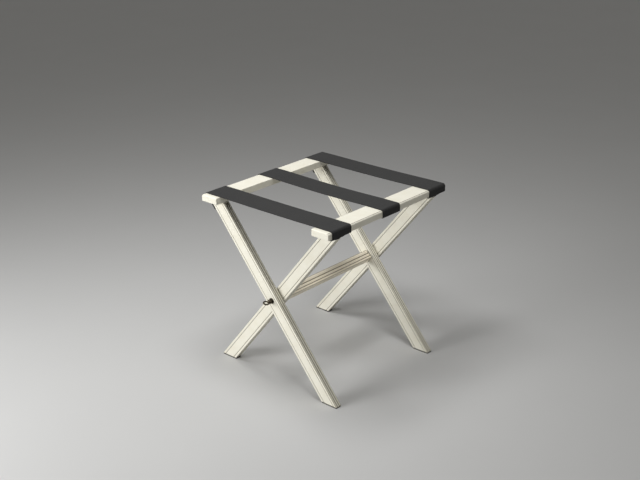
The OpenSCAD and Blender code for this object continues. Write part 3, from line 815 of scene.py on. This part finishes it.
def glazed_and_shaded_cream_paint(name, light, deep):
    """Cream satin paint over sanded wood, clouded between its light and its deep tone: brown glaze
    and painted shade wiped into every groove, between the reeds and on the rails' step, glaze thinly
    along the corners, a few dark specks and fine brush lines."""
    finish, tree, shader = new_finish(name)
    place = place_of(tree, "place")
    brushed = place_of(tree, "place", (0.05, 1, 1))
    glaze_and_shade = value_of(tree, "glaze_and_shade")
    corner = value_of(tree, "corner")
    cloud = noise(tree, place, 28, 4, 0.6)
    fine = noise(tree, place, 420, 3, 0.6)
    strokes = noise(tree, brushed, 900, 3, 0.6)
    cream = blend_colours(tree, between(tree, cloud, 0.35, 0.75), light, deep)
    cream = blend_colours(tree, between(tree, strokes, 0.5, 0.8, 0, 0.25), cream, BRUSHED_TONE)
    # Brown glaze and painted shade: the grooves, the valleys between reeds and the rails' risers are
    # darkened
    wiped = calc(tree, "MULTIPLY", glaze_and_shade, between(tree, fine, 0.2, 0.62, 0.72, 1.0))
    toned = blend_colours(tree, wiped, cream, GLAZE_AND_SHADE_BROWN)
    along_corner = calc(tree, "MULTIPLY", corner, between(tree, cloud, 0.5, 0.75, 0.0, 0.4))
    toned = blend_colours(tree, along_corner, toned, WORN_CORNER)
    specks = tree.nodes.new("ShaderNodeTexVoronoi")
    specks.feature = "F1"
    tree.links.new(place, specks.inputs["Vector"])
    specks.inputs["Scale"].default_value = 60
    specks.inputs["Randomness"].default_value = 1.0
    dot = between(tree, specks.outputs["Distance"], 0.02, 0.05, 1, 0)
    dot = calc(tree, "MULTIPLY", dot, between(tree, noise(tree, place, 17, 1), 0.5, 0.56))
    toned = blend_colours(tree, calc(tree, "MULTIPLY", dot, 0.7), toned, SPECK_BROWN)
    feed(tree, shader.inputs["Base Color"], toned)
    feed(tree, shader.inputs["Roughness"], between(tree, fine, 0.3, 0.7, 0.40, 0.52))
    shader.inputs["Coat Weight"].default_value = 0.12
    shader.inputs["Coat Roughness"].default_value = 0.35
    low = relief(tree, cloud, 0.25 * MM)
    feed(tree, shader.inputs["Normal"], relief(tree, strokes, 0.05 * MM, low))
    return finish


def charcoal_webbing():
    """Close woven charcoal webbing: fine ribs across the strap and finer warp lines along it,
    a firm darker selvedge, and slight fading in patches."""
    finish, tree, shader = new_finish("charcoal_webbing")
    rib_pitch, warp_pitch = 1.3 * MM, 1.1 * MM
    uv = tree.nodes.new("ShaderNodeUVMap")
    uv.uv_map = "UVMap"
    split = tree.nodes.new("ShaderNodeSeparateXYZ")
    tree.links.new(uv.outputs["UV"], split.inputs[0])
    along, across = split.outputs[0], split.outputs[1]
    rib = calc(tree, "SINE", calc(tree, "MULTIPLY", along, 2 * math.pi / rib_pitch))
    warp = calc(tree, "SINE", calc(tree, "MULTIPLY", across, 2 * math.pi / warp_pitch))
    weave = calc(tree, "MULTIPLY_ADD", calc(tree, "MULTIPLY", rib, warp), 0.25, 0.5)
    edge = between(tree, value_of(tree, "from_edge"), 1.2 * MM, 2.6 * MM, 1, 0)
    place = place_of(tree)
    cloud = noise(tree, place, 22, 4, 0.6)
    fuzz = noise(tree, place, 1500, 2, 0.7)
    colour = blend_colours(tree, between(tree, cloud, 0.3, 0.7),
                           (0.0135, 0.0135, 0.0128), (0.018, 0.0175, 0.0165))
    colour = blend_colours(tree, between(tree, weave, 0.3, 0.75), (0.0095, 0.0095, 0.0095), colour)
    colour = blend_colours(tree, calc(tree, "MULTIPLY", edge, 0.45), colour, (0.009, 0.009, 0.009))
    feed(tree, shader.inputs["Base Color"], colour)
    feed(tree, shader.inputs["Roughness"], between(tree, fuzz, 0.3, 0.7, 0.62, 0.8))
    shader.inputs["Specular IOR Level"].default_value = 0.28
    shader.inputs["Sheen Weight"].default_value = 0.03
    shader.inputs["Sheen Roughness"].default_value = 0.5
    height = calc(tree, "ADD", weave, calc(tree, "MULTIPLY", fuzz, 0.25))
    feed(tree, shader.inputs["Normal"], relief(tree, height, 0.12 * MM))
    return finish


def metal(name, bright, dark, roughness, grain):
    """Metal clouded between a bright tone and the dark one of its patina, with a fine grain."""
    finish, tree, shader = new_finish(name)
    place = place_of(tree)
    cloud = noise(tree, place, grain, 5, 0.65)
    fine = noise(tree, place, grain * 9, 3, 0.6)
    colour = blend_colours(tree, between(tree, cloud, 0.35, 0.65), dark, bright)
    feed(tree, shader.inputs["Base Color"], colour)
    worn = between(tree, fine, 0.25, 0.75, roughness - 0.08, roughness + 0.12)
    feed(tree, shader.inputs["Roughness"], worn)
    shader.inputs["Metallic"].default_value = 1.0
    feed(tree, shader.inputs["Normal"], relief(tree, fine, 0.03 * MM))
    return finish


def pad_rubber():
    """Dark brown rubber with a fine moulded grain and a dusty bloom."""
    finish, tree, shader = new_finish("pad_rubber")
    place = place_of(tree)
    cloud = noise(tree, place, 90, 4, 0.6)
    grain = noise(tree, place, 1400, 2, 0.6)
    colour = blend_colours(tree, between(tree, cloud, 0.3, 0.75),
                           (0.018, 0.016, 0.013), (0.034, 0.030, 0.024))
    feed(tree, shader.inputs["Base Color"], colour)
    feed(tree, shader.inputs["Roughness"], between(tree, cloud, 0.3, 0.7, 0.7, 0.85))
    feed(tree, shader.inputs["Normal"], relief(tree, grain, 0.08 * MM))
    return finish


def turned_beech():
    """Pale beech with a long fine grain."""
    finish, tree, shader = new_finish("turned_beech")
    grain = noise(tree, place_of(tree, None, (1, 1, 0.06)), 700, 4, 0.6)
    colour = blend_colours(tree, between(tree, grain, 0.35, 0.7), (0.52, 0.33, 0.18), (0.66, 0.47, 0.29))
    feed(tree, shader.inputs["Base Color"], colour)
    feed(tree, shader.inputs["Roughness"], between(tree, grain, 0.3, 0.7, 0.55, 0.7))
    feed(tree, shader.inputs["Normal"], relief(tree, grain, 0.05 * MM))
    return finish


paint = glazed_and_shaded_cream_paint("glazed_and_shaded_cream_paint", (0.867, 0.84, 0.728), (0.828, 0.794, 0.67))
# Painted warm bounce light: a warmer copy of the paint for the stretcher, which sits in shade
shade_warmed_paint = glazed_and_shaded_cream_paint("shade_warmed_cream_paint", (0.89, 0.815, 0.665), (0.85, 0.765, 0.60))
webbing = charcoal_webbing()
bronze = metal("antique_bronze", (0.115, 0.098, 0.07), (0.022, 0.019, 0.014), 0.36, 160)
steel = metal("dull_zinc_steel", (0.55, 0.55, 0.53), (0.38, 0.38, 0.37), 0.38, 220)
rubber = pad_rubber()
beech = turned_beech()

# The pieces

for side in (LEFT, RIGHT):
    rail(side, paint)
    for rear in (False, True):
        leg(side, rear, paint)
# The stretcher takes the warmer copy of the paint, painted bounce light in its shade
stretcher(shade_warmed_paint)
strap("front_strap", webbing, sag=1.0 * MM, skew=-0.4 * MM, leg_side="front")
strap("middle_strap", webbing, sag=2.5 * MM, skew=-2.3 * MM, leg_side=None)
strap("rear_strap", webbing, sag=1.4 * MM, skew=-0.9 * MM, leg_side="rear")
for rear in (False, True):
    eye_bolt(rear, bronze)

# Pieces that keep the frame's mesh and get a finish
KEPT = {
    "left_dowels": beech, "right_dowels": beech,
    "left_foot_pads": rubber, "right_foot_pads": rubber,
    "left_pad_tacks": steel, "right_pad_tacks": steel,
    "left_strap_tacks": bronze, "right_strap_tacks": bronze, "threaded_inserts": steel,
    "head_washers": bronze, "spacer_washers": bronze, "stretcher_washers": bronze,
}
for node, finish in KEPT.items():
    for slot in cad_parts[node].material_slots:
        slot.material = finish


# Floor, light and camera

def floor():
    """A wide plain floor of pale grey."""
    finish, tree, shader = new_finish("pale_floor")
    cloud = noise(tree, place_of(tree), 3, 2)
    colour = blend_colours(tree, cloud, (0.60, 0.60, 0.595), (0.62, 0.62, 0.615))
    feed(tree, shader.inputs["Base Color"], colour)
    shader.inputs["Roughness"].default_value = 0.9
    shader.inputs["Specular IOR Level"].default_value = 0.2
    reach = 30.0
    points = np.array([[-reach, -reach, 0], [reach, -reach, 0], [reach, reach, 0], [-reach, reach, 0]])
    piece = put_mesh("studio_floor", points, [np.array([[0, 1, 2, 3]])], finish)


def world_light():
    """An even pale surround: camera and glossy rays see its plain tone, other rays a soft fill."""
    world = bpy.data.worlds.new("studio")
    bpy.context.scene.world = world
    world.use_nodes = True
    tree = world.node_tree
    tree.nodes.clear()
    seen = tree.nodes.new("ShaderNodeBackground")
    seen.inputs["Color"].default_value = (0.66, 0.66, 0.655, 1)
    fill = tree.nodes.new("ShaderNodeBackground")
    fill.inputs["Color"].default_value = (0.181, 0.178, 0.170, 1)
    path = tree.nodes.new("ShaderNodeLightPath")
    either = calc(tree, "MAXIMUM", path.outputs["Is Camera Ray"], path.outputs["Is Glossy Ray"])
    either = calc(tree, "MAXIMUM", either, path.outputs["Is Transmission Ray"])
    mixed = tree.nodes.new("ShaderNodeMixShader")
    output = tree.nodes.new("ShaderNodeOutputWorld")
    tree.links.new(either, mixed.inputs[0])
    tree.links.new(fill.outputs[0], mixed.inputs[1])
    tree.links.new(seen.outputs[0], mixed.inputs[2])
    tree.links.new(mixed.outputs[0], output.inputs["Surface"])


def soft_box(name, place, aim, size, watts):
    """A rectangular area lamp at place that faces aim."""
    lamp = bpy.data.lights.new(name, "AREA")
    lamp.shape = "RECTANGLE"
    lamp.size, lamp.size_y = size
    lamp.energy = watts
    holder = bpy.data.objects.new(name, lamp)
    bpy.context.scene.collection.objects.link(holder)
    holder.location = place
    holder.rotation_euler = (Vector(aim) - Vector(place)).to_track_quat("-Z", "Y").to_euler()


def photo_camera():
    """The camera, fitted to the photograph's edges: it looks at aim from azimuth and elevation at
    that distance, turned by roll."""
    azimuth, elevation, roll = (math.radians(a) for a in (41.928, 22.150, -0.7585))
    distance = 2970.2 * MM
    aim = Vector((17.02, -44.77, 372.15)) * MM
    back = Vector((math.sin(azimuth) * math.cos(elevation),
                   -math.cos(azimuth) * math.cos(elevation), math.sin(elevation)))
    level = Vector((math.cos(azimuth), math.sin(azimuth), 0))
    up = back.cross(level)
    right = level * math.cos(roll) + up * math.sin(roll)
    top = up * math.cos(roll) - level * math.sin(roll)
    data = bpy.data.cameras.new("camera")
    focal_px, width_px = 1080.28, 640
    data.sensor_width = 36.0
    data.lens = focal_px / width_px * data.sensor_width
    holder = bpy.data.objects.new("camera", data)
    bpy.context.scene.collection.objects.link(holder)
    turned = Matrix((right, top, back)).transposed().to_4x4()
    holder.matrix_world = Matrix.Translation(aim + back * distance) @ turned
    bpy.context.scene.camera = holder


floor()
world_light()
soft_box("overhead", (-0.10, -0.25, 1.80), (0, 0, 0.25), (0.7, 0.7), 15.8)
soft_box("front", (-0.95, -2.10, 0.80), (0, 0, 0.30), (1.1, 0.9), 36)
soft_box("side", (1.90, -0.55, 0.95), (0, 0, 0.35), (1.0, 0.9), 1.5)
photo_camera()
bpy.context.scene.view_settings.view_transform = "Standard"
